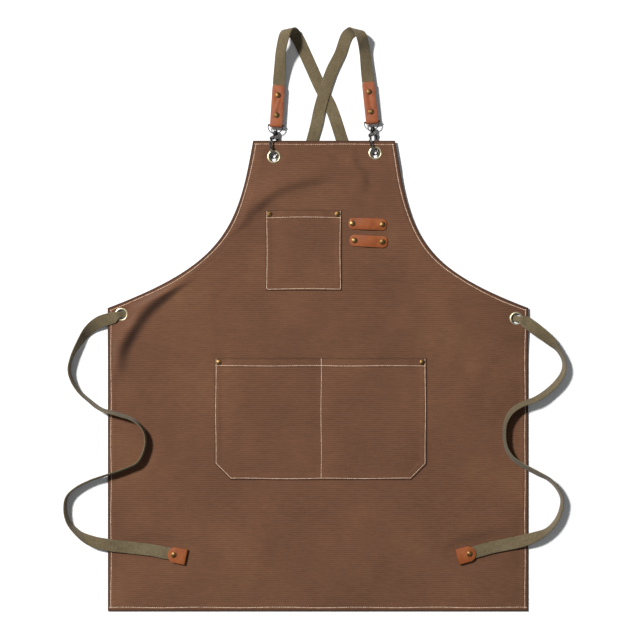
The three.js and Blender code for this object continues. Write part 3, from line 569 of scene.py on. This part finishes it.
def metal_finish(name, tarnish, body, bright, rough, grain):
    """Plated pressings and castings: darker, rougher tarnish in patches between polish."""
    material, tree, shader = new_finish(name, Metallic=1.0, Roughness=rough)
    patches = noise(tree, object_place(tree), Scale=grain, Detail=3.0)
    colour = ramp(tree, patches, (0.3, tarnish), (0.5, body), (0.72, bright))
    tree.links.new(colour, shader.inputs["Base Color"])
    shine = ramp(tree, patches, (0.3, rough + TARNISH_ROUGHER), (0.7, rough))
    tree.links.new(shine, shader.inputs["Roughness"])
    return material


def thread_finish():
    """Beige polyester-cotton sewing thread, a little uneven in shade."""
    material, tree, shader = new_finish("beige_sewing_thread", Roughness=0.7, Specular_IOR_Level=0.3)
    shade = noise(tree, object_place(tree), Scale=240.0, Detail=2.0)
    colour = ramp(tree, shade, (0.3, "#AB8D75"), (0.5, "#C8AA92"), (0.7, "#DCC3AD"))
    tree.links.new(colour, shader.inputs["Base Color"])
    return material


CANVAS = canvas_finish("duck_canvas", "#573A29", "#5E3F2D", "#664630")
WEBBING = webbing_finish()
LEATHER_TAN = leather_finish("tan_leather", "#783F24", "#864829", "#945431")
LEATHER_DEEP = leather_finish("deep_tan_leather", "#733A19", "#844520", "#91522B")
BRASS = metal_finish("antique_brass", "#3A2C1A", "#6A5030", "#917449", 0.42, 260.0)
PALE_BRASS = metal_finish("pale_antique_brass", "#8A7E64", "#B8AC8C", "#DDD3B8", 0.36, 200.0)
NICKEL = metal_finish("dark_nickel_plate", "#2E2D2A", "#5E5C57", "#95938C", 0.22, 220.0)
RING_STEEL = metal_finish("dull_nickel_wire", "#151514", "#2B2A28", "#4A4946", 0.34, 220.0)
SPRING = metal_finish("spring_steel", "#4A4A4A", "#6E6E6E", "#8A8A8A", 0.34, 400.0)
THREAD = thread_finish()


# ---------------------------------------------------------------- making pieces
def only(piece):
    """Selects one piece, in object mode, for the operators that follow."""
    if bpy.context.object and bpy.context.object.mode != "OBJECT":
        bpy.ops.object.mode_set(mode="OBJECT")
    bpy.ops.object.select_all(action="DESELECT")
    piece.select_set(True)
    bpy.context.view_layer.objects.active = piece


def finished(piece, name, material, angle, body="apron"):
    """Gives a piece its name, finish and smooth faces, and says what it rides and is made of."""
    piece.name = name
    piece.data.name = name
    piece.data.materials.clear()
    piece.data.materials.append(material)
    only(piece)
    bpy.ops.object.shade_smooth_by_angle(angle=math.radians(angle))
    if body:
        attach(piece, body)
    return piece


def apply_modifiers(piece):
    only(piece)
    for modifier in list(piece.modifiers):
        bpy.ops.object.modifier_apply(modifier=modifier.name)


def woven_grid(name, columns, rows):
    """A flat grid to be laid out as cloth, with the column and the row of each point."""
    bpy.ops.object.select_all(action="DESELECT")
    bpy.ops.mesh.primitive_grid_add(x_subdivisions=columns, y_subdivisions=rows, size=1.0, calc_uvs=True)
    piece = bpy.context.object
    piece.name = name
    co = np.zeros(len(piece.data.vertices) * 3)
    piece.data.vertices.foreach_get("co", co)
    co = co.reshape(-1, 3)
    column = np.round((co[:, 0] + 0.5) * columns).astype(int)
    row = np.round((co[:, 1] + 0.5) * rows).astype(int)
    return piece, column, row


def in_metres(x, y, z):
    """Places in the frame's metres, from millimetres that start at the waist's middle."""
    return np.stack([x * MM, (y + HEM_TO_WAIST) * MM, z * MM], 1)


def place_points(piece, x, y, z):
    """Puts every point at its place, given in millimetres from the waist's middle."""
    piece.data.vertices.foreach_set("co", in_metres(x, y, z).ravel())
    piece.data.update()


def mark_thickness(piece, share):
    """Says what share of a sheet's thickness each of its points has."""
    group = piece.vertex_groups.new(name="thickness")
    for value in np.unique(share):
        group.add([int(k) for k in np.flatnonzero(share == value)], float(value), "REPLACE")


def thicken(piece, thickness):
    """Gives a sheet its thickness below its face, as marked."""
    solid = piece.modifiers.new("thickness", "SOLIDIFY")
    solid.thickness = thickness * MM
    solid.offset = -1
    solid.vertex_group = "thickness"
    apply_modifiers(piece)
    piece.vertex_groups.clear()


def spread(count, width, near=EDGE_STEPS):
    """Distances across a width: close together at both edges, even between them."""
    inner = count - 2 * len(near)
    middle = np.linspace(0, 1, inner + 1)
    between = near[-1] + (width - 2 * near[-1])[:, None] * middle
    left = np.tile(np.r_[0.0, near[:-1]], (len(width), 1))
    right = width[:, None] - np.tile(np.r_[near[:-1][::-1], 0.0], (len(width), 1))
    return np.hstack([left, between, right])


def hem_relief(away, along):
    """The turned hem stands a little proud, dips at its stitching, and puckers there."""
    proud = 0.8 * (1 - ease((away - 10.5) / 3)) - 0.3 * np.exp(-(((away - 15) / 3) ** 2))
    groove = -0.4 * np.exp(-(((away - 6.0) / 1.1) ** 2))
    pucker = 0.24 * np.sin(along * 2 * math.pi / 17.4 + 1.4 * np.sin(along / 31))
    pucker = pucker * np.exp(-(((away - 6) / 5) ** 2))
    edge = -1.1 * (1 - ease(away / 2.2))
    return proud + groove + pucker + edge


OUTLINE = [*map(tuple, LEFT_EDGE), *map(tuple, RIGHT_EDGE[::-1]), tuple(LEFT_EDGE[0])]
OUTLINE_LENGTH = sum(math.dist(a, b) for a, b in zip(OUTLINE[:-1], OUTLINE[1:]))


def apron_face(x, y):
    """The height of the panel's upper face."""
    away, along, _ = distance_to_path(x, y, OUTLINE)
    held = ease((away - 4) / 14)
    wrinkles = cloth_wrinkles(x, y) * (0.05 + 0.95 * held)
    return rough_lift(y) + CLOTH_TOP + wrinkles + hem_relief(away, along * OUTLINE_LENGTH)


def painted_edge_shade(piece, share):
    """Marks how much painted shade darkens each point of the cloth near its edges."""
    mark = piece.data.attributes.new("painted_edge_shade", "FLOAT", "POINT")
    mark.data.foreach_set("value", share.astype(np.float32))


def open_holes(piece, spots):
    """Takes the cloth away inside each eyelet and rounds the opening, under its flange."""
    mesh = bmesh.new()
    mesh.from_mesh(piece.data)
    for sx, sy in spots:
        middle = Vector((sx * MM, (sy + HEM_TO_WAIST) * MM))
        inside = [f for f in mesh.faces if (f.calc_center_median().xy - middle).length < EYELET_HOLE * MM]
        bmesh.ops.delete(mesh, geom=inside, context="FACES")
        for v in mesh.verts:
            away = (v.co.xy - middle).length
            if v.is_boundary and away < EYELET_REACH * MM:
                v.co.xy = middle + (v.co.xy - middle) * (EYELET_SNAP * MM / away)
    mesh.to_mesh(piece.data)
    mesh.free()


def apron_cloth():
    arm = armhole_steps()
    at_corner = float(arm[1]) / 4 * np.array((0.15, 0.38, 0.75, 1.12, 1.5, 1.9, 2.4, 3.1))
    arm = np.unique(np.r_[arm[0], at_corner, arm[1:]])
    left, right = armhole_point(-1, arm), armhole_point(1, arm)
    near_hem = SKIRT_BOTTOM + np.array(EDGE_STEPS[6::-1])
    down = np.r_[np.arange(SKIRT_TOP - 4, SKIRT_BOTTOM + 12, -4), near_hem, SKIRT_BOTTOM]
    edge_x = np.r_[left[:, 0], np.full(len(down), -SKIRT_HALF)]
    far_x = np.r_[right[:, 0], np.full(len(down), SKIRT_HALF)]
    edge_y = np.r_[left[:, 1], down]
    order = np.argsort(edge_y)
    edge_x, far_x, edge_y = edge_x[order], far_x[order], edge_y[order]
    columns, rows = 172, len(edge_y) - 1
    piece, i, j = woven_grid("apron_cloth", columns, rows)
    x = edge_x[j] + spread(columns, far_x - edge_x)[j, i]
    y = edge_y[j]
    away, _, _ = distance_to_path(x, y, OUTLINE)
    place_points(piece, x, y, apron_face(x, y))
    # painted shade along the panel's edge, where it turns under, and in the stitching groove 6 mm inside it
    painted_edge_shade(piece, np.exp(-((away / 3.3) ** 4)) * 0.8 + 0.25 * np.exp(-(((away - 6) / 0.9) ** 2)))
    share = np.where(away < HEM_WIDTH + 0.8, 1.0, 0.5)
    spots = list(SIDE_EYELETS.values()) + [(b[0], b[1]) for b in BIB_EYELETS.values()]
    for sx, sy in spots:
        share = np.where(np.hypot(x - sx, y - sy) < 14, 0.5, share)
    mark_thickness(piece, share)
    open_holes(piece, spots)
    thicken(piece, CLOTH_TOP)
    return piece


panel = finished(apron_cloth(), "apron_cloth", CANVAS, angle=60)
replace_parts(panel, "apron_panel")


# ---------------------------------------------------------------- pockets
def pocket_sides(pocket, y):
    slant = np.clip(pocket["cut"] - (y - pocket["bottom"]), 0, None) if pocket["cut"] else np.zeros_like(y)
    return pocket["left"] + slant, pocket["right"] - slant


def edges_of(pocket):
    return (pocket[k] for k in ("left", "right", "top", "bottom", "cut"))


def sewn_edge(pocket):
    """The three sides that are sewn down, with the cut corners."""
    left, right, top, bottom, cut = edges_of(pocket)
    if not cut:
        return [(left, top), (left, bottom), (right, bottom), (right, top)]
    return [(left, top), (left, bottom + cut), (left + cut, bottom), (right - cut, bottom),
            (right, bottom + cut), (right, top)]


def from_rivet(pocket, x, down):
    """How far a point lies from the nearer corner rivet, and from the nearer side."""
    side = np.minimum(x - pocket["left"], pocket["right"] - x)
    return np.hypot(side - POCKET_RIVET, down - POCKET_RIVET), side


def pocket_face(pocket, x, y):
    """The height of a pocket's upper face, slack in the middle and held at its seams."""
    hem, seams = pocket["hem"], pocket["seams"]
    away, _, _ = distance_to_path(x, y, sewn_edge(pocket))
    full = ease((away - 3) / 34)
    for seam in seams:
        full = full * ease((np.abs(x - seam) - 1) / 26)
    down = pocket["top"] - y
    slack = 1.3 * full + 1.2 * full * np.exp(-((down / 46) ** 2))
    rivet_away, side = from_rivet(pocket, x, down)
    slack = slack * np.where(down < 20, ease((side - 12) / 20), 1)
    groove = -0.25 * np.exp(-(((away - 2.2) / 0.8) ** 2)) - 0.25 * np.exp(-(((down - hem) / 0.8) ** 2))
    for seam in seams:
        groove = groove - 0.3 * np.exp(-(((x - seam) / 1.0) ** 2))
    fold = POCKET_FOLD * np.maximum(1 - ease((away - 8) / 2.5), 1 - ease((down - hem) / 2.0))
    fold = fold * ease(rivet_away / 8 - 0.3)
    puckers = 0.16 * np.sin((x + y) * 2 * math.pi / 14.5) * np.exp(-(((away - 3) / 3) ** 2))
    edge = -0.5 * (1 - ease(np.minimum(away, down + 0.3) / 1.2))
    base = rough_lift(y) + CLOTH_TOP + cloth_wrinkles(x, y)
    return base + TOUCH + POCKET_CLOTH + slack + np.maximum(groove, -0.25) + fold + puckers + edge


POCKET_WEAVE = 2.6  # millimetres between a pocket's rows


def sewn_pocket(name, node_name, pocket):
    hem = pocket["hem"]
    columns = int((pocket["right"] - pocket["left"]) / POCKET_WEAVE)
    rows = int((pocket["top"] - pocket["bottom"]) / POCKET_WEAVE)
    heights = np.unique(np.r_[
        np.linspace(pocket["bottom"], pocket["top"], rows - 14),
        pocket["bottom"] + np.array([0.5, 1.2, 2.2, 3.2, 4.8]),
        pocket["top"] - np.array([0.4, 1.0, 2.0, hem - 1.2, hem - 0.5, hem, hem + 0.6, hem + 1.6]),
    ])
    piece, i, j = woven_grid(name, columns, len(heights) - 1)
    left, right = pocket_sides(pocket, heights)
    offsets = spread(columns, right - left, (0.5, 1.2, 2.2, 3.2, 4.8, 7.0))
    x, y = left[j] + offsets[j, i], heights[j]
    place_points(piece, x, y, pocket_face(pocket, x, y))
    away, _, _ = distance_to_path(x, y, sewn_edge(pocket))
    down = pocket["top"] - y
    rivet_away, _ = from_rivet(pocket, x, down)
    turned_in = ((away < 10) | (down < hem + 1)) & (rivet_away > 9)
    # painted shade along all four edges of the pocket
    painted_edge_shade(piece, np.exp(-((np.minimum(away, down) / 1.2) ** 2)) * 0.8)
    mark_thickness(piece, np.where(turned_in, 1.0, 0.5))
    thicken(piece, POCKET_CLOTH + POCKET_FOLD)
    piece = finished(piece, name, CANVAS, angle=60)
    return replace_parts(piece, node_name)


chest = sewn_pocket("chest_pocket_cloth", "chest_pocket", CHEST_POCKET)
waist = sewn_pocket("waist_pocket_cloth", "waist_pocket", WAIST_POCKET)


# ---------------------------------------------------------------- sewing
def one_stitch():
    """A single stitch of thread: a short bar that dives into the cloth at both ends."""
    bpy.ops.object.select_all(action="DESELECT")
    bpy.ops.mesh.primitive_cylinder_add(vertices=6, radius=0.5, depth=1.0, end_fill_type="NGON")
    piece = bpy.context.object
    bpy.ops.object.mode_set(mode="EDIT")
    bpy.ops.mesh.select_all(action="SELECT")
    bpy.ops.transform.rotate(value=math.pi / 2, orient_axis="Y", center_override=(0, 0, 0))
    bpy.ops.mesh.bisect(plane_co=(-0.25, 0, 0), plane_no=(1, 0, 0))
    bpy.ops.mesh.select_all(action="SELECT")
    bpy.ops.mesh.bisect(plane_co=(0.25, 0, 0), plane_no=(1, 0, 0))
    bpy.ops.object.mode_set(mode="OBJECT")
    co = np.array([v.co for v in piece.data.vertices])
    ends = np.abs(co[:, 0]) > 0.4
    co[ends, 1] *= 0.55
    co[ends, 2] = co[ends, 2] * 0.6 - 0.3
    faces = [list(f.vertices) for f in piece.data.polygons]
    bpy.data.objects.remove(piece, do_unlink=True)
    return co, faces


STITCH, STITCH_FACES = one_stitch()
STITCH_PITCH, STITCH_LENGTH, STITCH_STAND = 3.1, 3.2, 0.26


def stitching(name, lines, face, thick, seed):
    """Rows of stitches laid along lines on a face of the cloth, a little uneven by hand."""
    draw = random.Random(seed)
    corners, faces = [], []
    for line in lines:
        line = np.asarray(line, float)
        walked = walked_along(line)

        def point(at):
            return np.stack([np.interp(at, walked, line[:, 0]), np.interp(at, walked, line[:, 1])], 1)

        count = max(2, int(walked[-1] / STITCH_PITCH))
        at = (np.arange(count) + 0.5) * walked[-1] / count
        mid = point(at)
        run = unit(point(at + 0.4) - point(at - 0.4))
        level = face(mid[:, 0], mid[:, 1])
        tip = face(mid[:, 0] + run[:, 0], mid[:, 1] + run[:, 1])
        for k in range(count):
            turn = math.atan2(run[k, 1], run[k, 0]) + math.radians(draw.uniform(-4, 4))
            size = STITCH_LENGTH * draw.uniform(0.9, 1.08)
            aside = draw.uniform(-0.12, 0.12) + 0.45 * math.sin(at[k] / 21 + seed)
            c, s = math.cos(turn), math.sin(turn)
            local = STITCH * (size, thick, thick * 0.75)
            x = mid[k, 0] + local[:, 0] * c - (local[:, 1] + aside) * s
            y = mid[k, 1] + local[:, 0] * s + (local[:, 1] + aside) * c
            z = level[k] + STITCH_STAND + local[:, 2] + local[:, 0] * (tip[k] - level[k])
            faces += [[v + len(corners) * len(STITCH) for v in f] for f in STITCH_FACES]
            corners.append(in_metres(x, y, z))
    mesh = bpy.data.meshes.new(name)
    mesh.from_pydata(np.vstack(corners).tolist(), [], faces)
    piece = bpy.data.objects.new(name, mesh)
    bpy.context.scene.collection.objects.link(piece)
    return finished(piece, name, THREAD, angle=70)


def moved_in(path, distance):
    """A line beside the apron's edge, a distance inside it."""
    path = np.asarray(path, float)
    run = unit(np.gradient(path, axis=0))
    return path + np.stack([-run[:, 1], run[:, 0]], 1) * distance


def hem_lines():
    sides = []
    for edge in (LEFT_EDGE, RIGHT_EDGE[::-1]):
        line = moved_in(edge, 5.5)
        sides.append(line[(line[:, 1] > SKIRT_BOTTOM + 2) & (line[:, 1] < BIB_TOP - 1.5)])
    top = [(BIB_SHIFT - BIB_HALF + 2, BIB_TOP - 6.2), (BIB_SHIFT + BIB_HALF - 2, BIB_TOP - 6.2)]
    bottom = [(-SKIRT_HALF + 2, SKIRT_BOTTOM + 6.5), (SKIRT_HALF - 2, SKIRT_BOTTOM + 6.5)]
    return [*sides, top, bottom]


POCKET_STITCH_INSET = 2.2


def pocket_lines(pocket):
    """The stitched lines of a pocket: its sewn sides, its top hem and its division."""
    left, right, top, bottom, cut = edges_of(pocket)
    i = POCKET_STITCH_INSET
    if cut:
        k = i * 0.41
        sewn = [(left + i, top - 1), (left + i, bottom + cut + k), (left + cut + k, bottom + i),
                (right - cut - k, bottom + i), (right - i, bottom + cut + k), (right - i, top - 1)]
    else:
        sewn = [(left + i, top - 1), (left + i, bottom + i), (right - i, bottom + i), (right - i, top - 1)]
    lines = [[a, b] for a, b in zip(sewn[:-1], sewn[1:])]
    lines.append([(left + 1, top - pocket["hem"]), (right - 1, top - pocket["hem"])])
    return lines + [[(s, top - 0.8), (s, bottom + i)] for s in pocket["seams"]]


def pocket_thread(name, pocket, seed):
    def face(x, y):
        return pocket_face(pocket, x, y)

    return stitching(name, pocket_lines(pocket), face, thick=0.85, seed=seed)


stitching("hem_stitching", hem_lines(), apron_face, thick=1.0, seed=7)
chest_thread = pocket_thread("chest_pocket_stitching", CHEST_POCKET, 11)
waist_thread = pocket_thread("waist_pocket_stitching", WAIST_POCKET, 13)


# ---------------------------------------------------------------- straps
STRAP_SECTION = (-0.97, -0.86, -0.6, -0.3, 0, 0.3, 0.6, 0.86, 0.97)  # shares of its half width


def strap_piece(name, side, start, end, body):
    """One stretch of a strap, from start to end along it, with rounded selvedges."""
    middle, run, face, gather, at = strap_stations(side, start, end)
    across = np.cross(face, run)
    upper = [(s, 0.5 if abs(s) < 0.9 else 0.42) for s in STRAP_SECTION]
    ring = np.array([(-1.0, 0.0), *upper, (1.0, 0.0), *[(s, -h) for s, h in upper[::-1]]])
    around = len(ring)
    piece, i, j = woven_grid(name, around, len(at) - 1)
    s, h = ring[i % around].T
    width = WEB_WIDTH + (GATHER_WIDTH - WEB_WIDTH) * gather
    thick = WEB_THICK + (GATHER_THICK - WEB_THICK) * gather
    pleat = 0.55 * gather[j] * np.sin(3 * math.pi * s) * (1 - s**2)
    place = middle[j] + across[j] * (s * width[j] / 2)[:, None] + face[j] * (h * thick[j] + pleat)[:, None]
    place_points(piece, place[:, 0], place[:, 1], place[:, 2])
    loops = np.zeros(len(piece.data.loops), int)
    piece.data.loops.foreach_get("vertex_index", loops)
    uv = np.stack([s[loops] * 10 * MM, at[j[loops]] * MM], 1)
    piece.data.uv_layers[0].name = "UVMap"
    piece.data.uv_layers["UVMap"].data.foreach_set("uv", uv.ravel())
    only(piece)
    bpy.ops.object.mode_set(mode="EDIT")
    bpy.ops.mesh.select_all(action="SELECT")
    bpy.ops.mesh.remove_doubles(threshold=1e-6)
    bpy.ops.mesh.select_all(action="DESELECT")
    bpy.ops.mesh.select_non_manifold()
    bpy.ops.mesh.edge_face_add()
    bpy.ops.mesh.select_all(action="SELECT")
    bpy.ops.mesh.normals_make_consistent(inside=False)
    bpy.ops.object.mode_set(mode="OBJECT")
    return finished(piece, name, WEBBING, angle=50, body=body), at[-1] - at[0]


TO_THE_END = 9999
for side in ("left", "right"):
    other = "right" if side == "left" else "left"
    upper, _ = strap_piece(f"{side}_strap_at_tab", side, 0, NEAR_TAB, None)
    lower, _ = strap_piece(f"{side}_strap_at_turn", side, NEAR_TAB, NEAR_TURN, None)
    long, length = strap_piece(f"{side}_strap", side, NEAR_TURN, TO_THE_END, "apron")
    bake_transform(upper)
    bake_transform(lower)
    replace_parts(long, f"{side}_shoulder_strap", f"{other}_waist_tie")


# ---------------------------------------------------------------- metal and leather
def dressed(name, material, body, angle=42, edge=0.0):
    """A CAD piece with its facets merged and smoothed, in its own finish."""
    piece = bpy.data.objects.new(f"{name}_finished", frame["nodes"][name].data.copy())
    bpy.context.scene.collection.objects.link(piece)
    only(piece)
    bpy.ops.object.mode_set(mode="EDIT")
    bpy.ops.mesh.select_all(action="SELECT")
    bpy.ops.mesh.remove_doubles(threshold=1e-6)
    bpy.ops.mesh.dissolve_limited(angle_limit=math.radians(1.0))
    bpy.ops.object.mode_set(mode="OBJECT")
    if edge:
        rounded = piece.modifiers.new("edges", "BEVEL")
        rounded.width = edge * MM
        rounded.segments = 2
        rounded.limit_method = "ANGLE"
        rounded.angle_limit = math.radians(50)
        rounded.use_clamp_overlap = True
        apply_modifiers(piece)
    finished(piece, f"{name}_finished", material, angle=angle, body=body)
    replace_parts(piece, name)


record = frame["record"]
body_of_node = {n: b for b, nodes in record["behaviour"]["bodies"].items() for n in nodes}
for part in record["subparts"]:
    name, slot_name = part["node"], part["material_slot"]
    if slot_name == "leather":
        tan = LEATHER_TAN if "hook_tab" in name else LEATHER_DEEP
        dressed(name, tan, body_of_node[name], angle=35, edge=0.35)
    elif "eyelet" in name or "washer" in name:
        dressed(name, PALE_BRASS, body_of_node[name])
    elif slot_name == "antique_brass":
        dressed(name, BRASS, body_of_node[name])
    elif slot_name == "nickel":
        wire = body_of_node[name].endswith("_ring")
        dressed(name, RING_STEEL if wire else NICKEL, body_of_node[name], angle=48)
    elif slot_name == "spring_wire":
        dressed(name, SPRING, body_of_node[name])
    elif name.endswith("strap_end"):
        frame["nodes"][name].data.materials.clear()
        frame["nodes"][name].data.materials.append(WEBBING)


# ---------------------------------------------------------------- table, light
TABLE_SIZE, TABLE_DROP = 8.0, 0.0002
LAMP_SIZE, LAMP_WATTS, LAMP_AWAY = 0.80, 575.0, 6.0
LAMP_TOWARDS = (-0.62, 0.46, 1.0)
ROOM_COLOUR, ROOM_STRENGTH = (0.93, 0.96, 1.0, 1), 0.25


def floor_and_light():
    """A white board, one lamp high on the left and the pale light of the room."""
    bpy.ops.object.select_all(action="DESELECT")
    bpy.ops.mesh.primitive_plane_add(size=TABLE_SIZE, location=(0, 0.4, -TABLE_DROP))
    floor = bpy.context.object
    floor.name = "table"
    material, _, shader = new_finish("matt_white_board", Roughness=0.9)
    shader.inputs["Base Color"].default_value = linear("#E8E8E8")
    floor.data.materials.append(material)
    lamp_light = bpy.data.lights.new("key", "AREA")
    lamp_light.shape = "DISK"
    lamp_light.size = LAMP_SIZE
    lamp_light.energy = LAMP_WATTS
    lamp = bpy.data.objects.new("key", lamp_light)
    towards = Vector(LAMP_TOWARDS).normalized()
    lamp.location = Vector((0, HEM_TO_WAIST * MM, 0)) + towards * LAMP_AWAY
    lamp.rotation_euler = towards.to_track_quat("Z", "Y").to_euler()
    bpy.context.scene.collection.objects.link(lamp)
    world = bpy.data.worlds.new("studio")
    world.use_nodes = True
    background = world.node_tree.nodes["Background"]
    background.inputs["Color"].default_value = ROOM_COLOUR
    background.inputs["Strength"].default_value = ROOM_STRENGTH
    bpy.context.scene.world = world
    bpy.context.scene.view_settings.view_transform = "Standard"


floor_and_light()
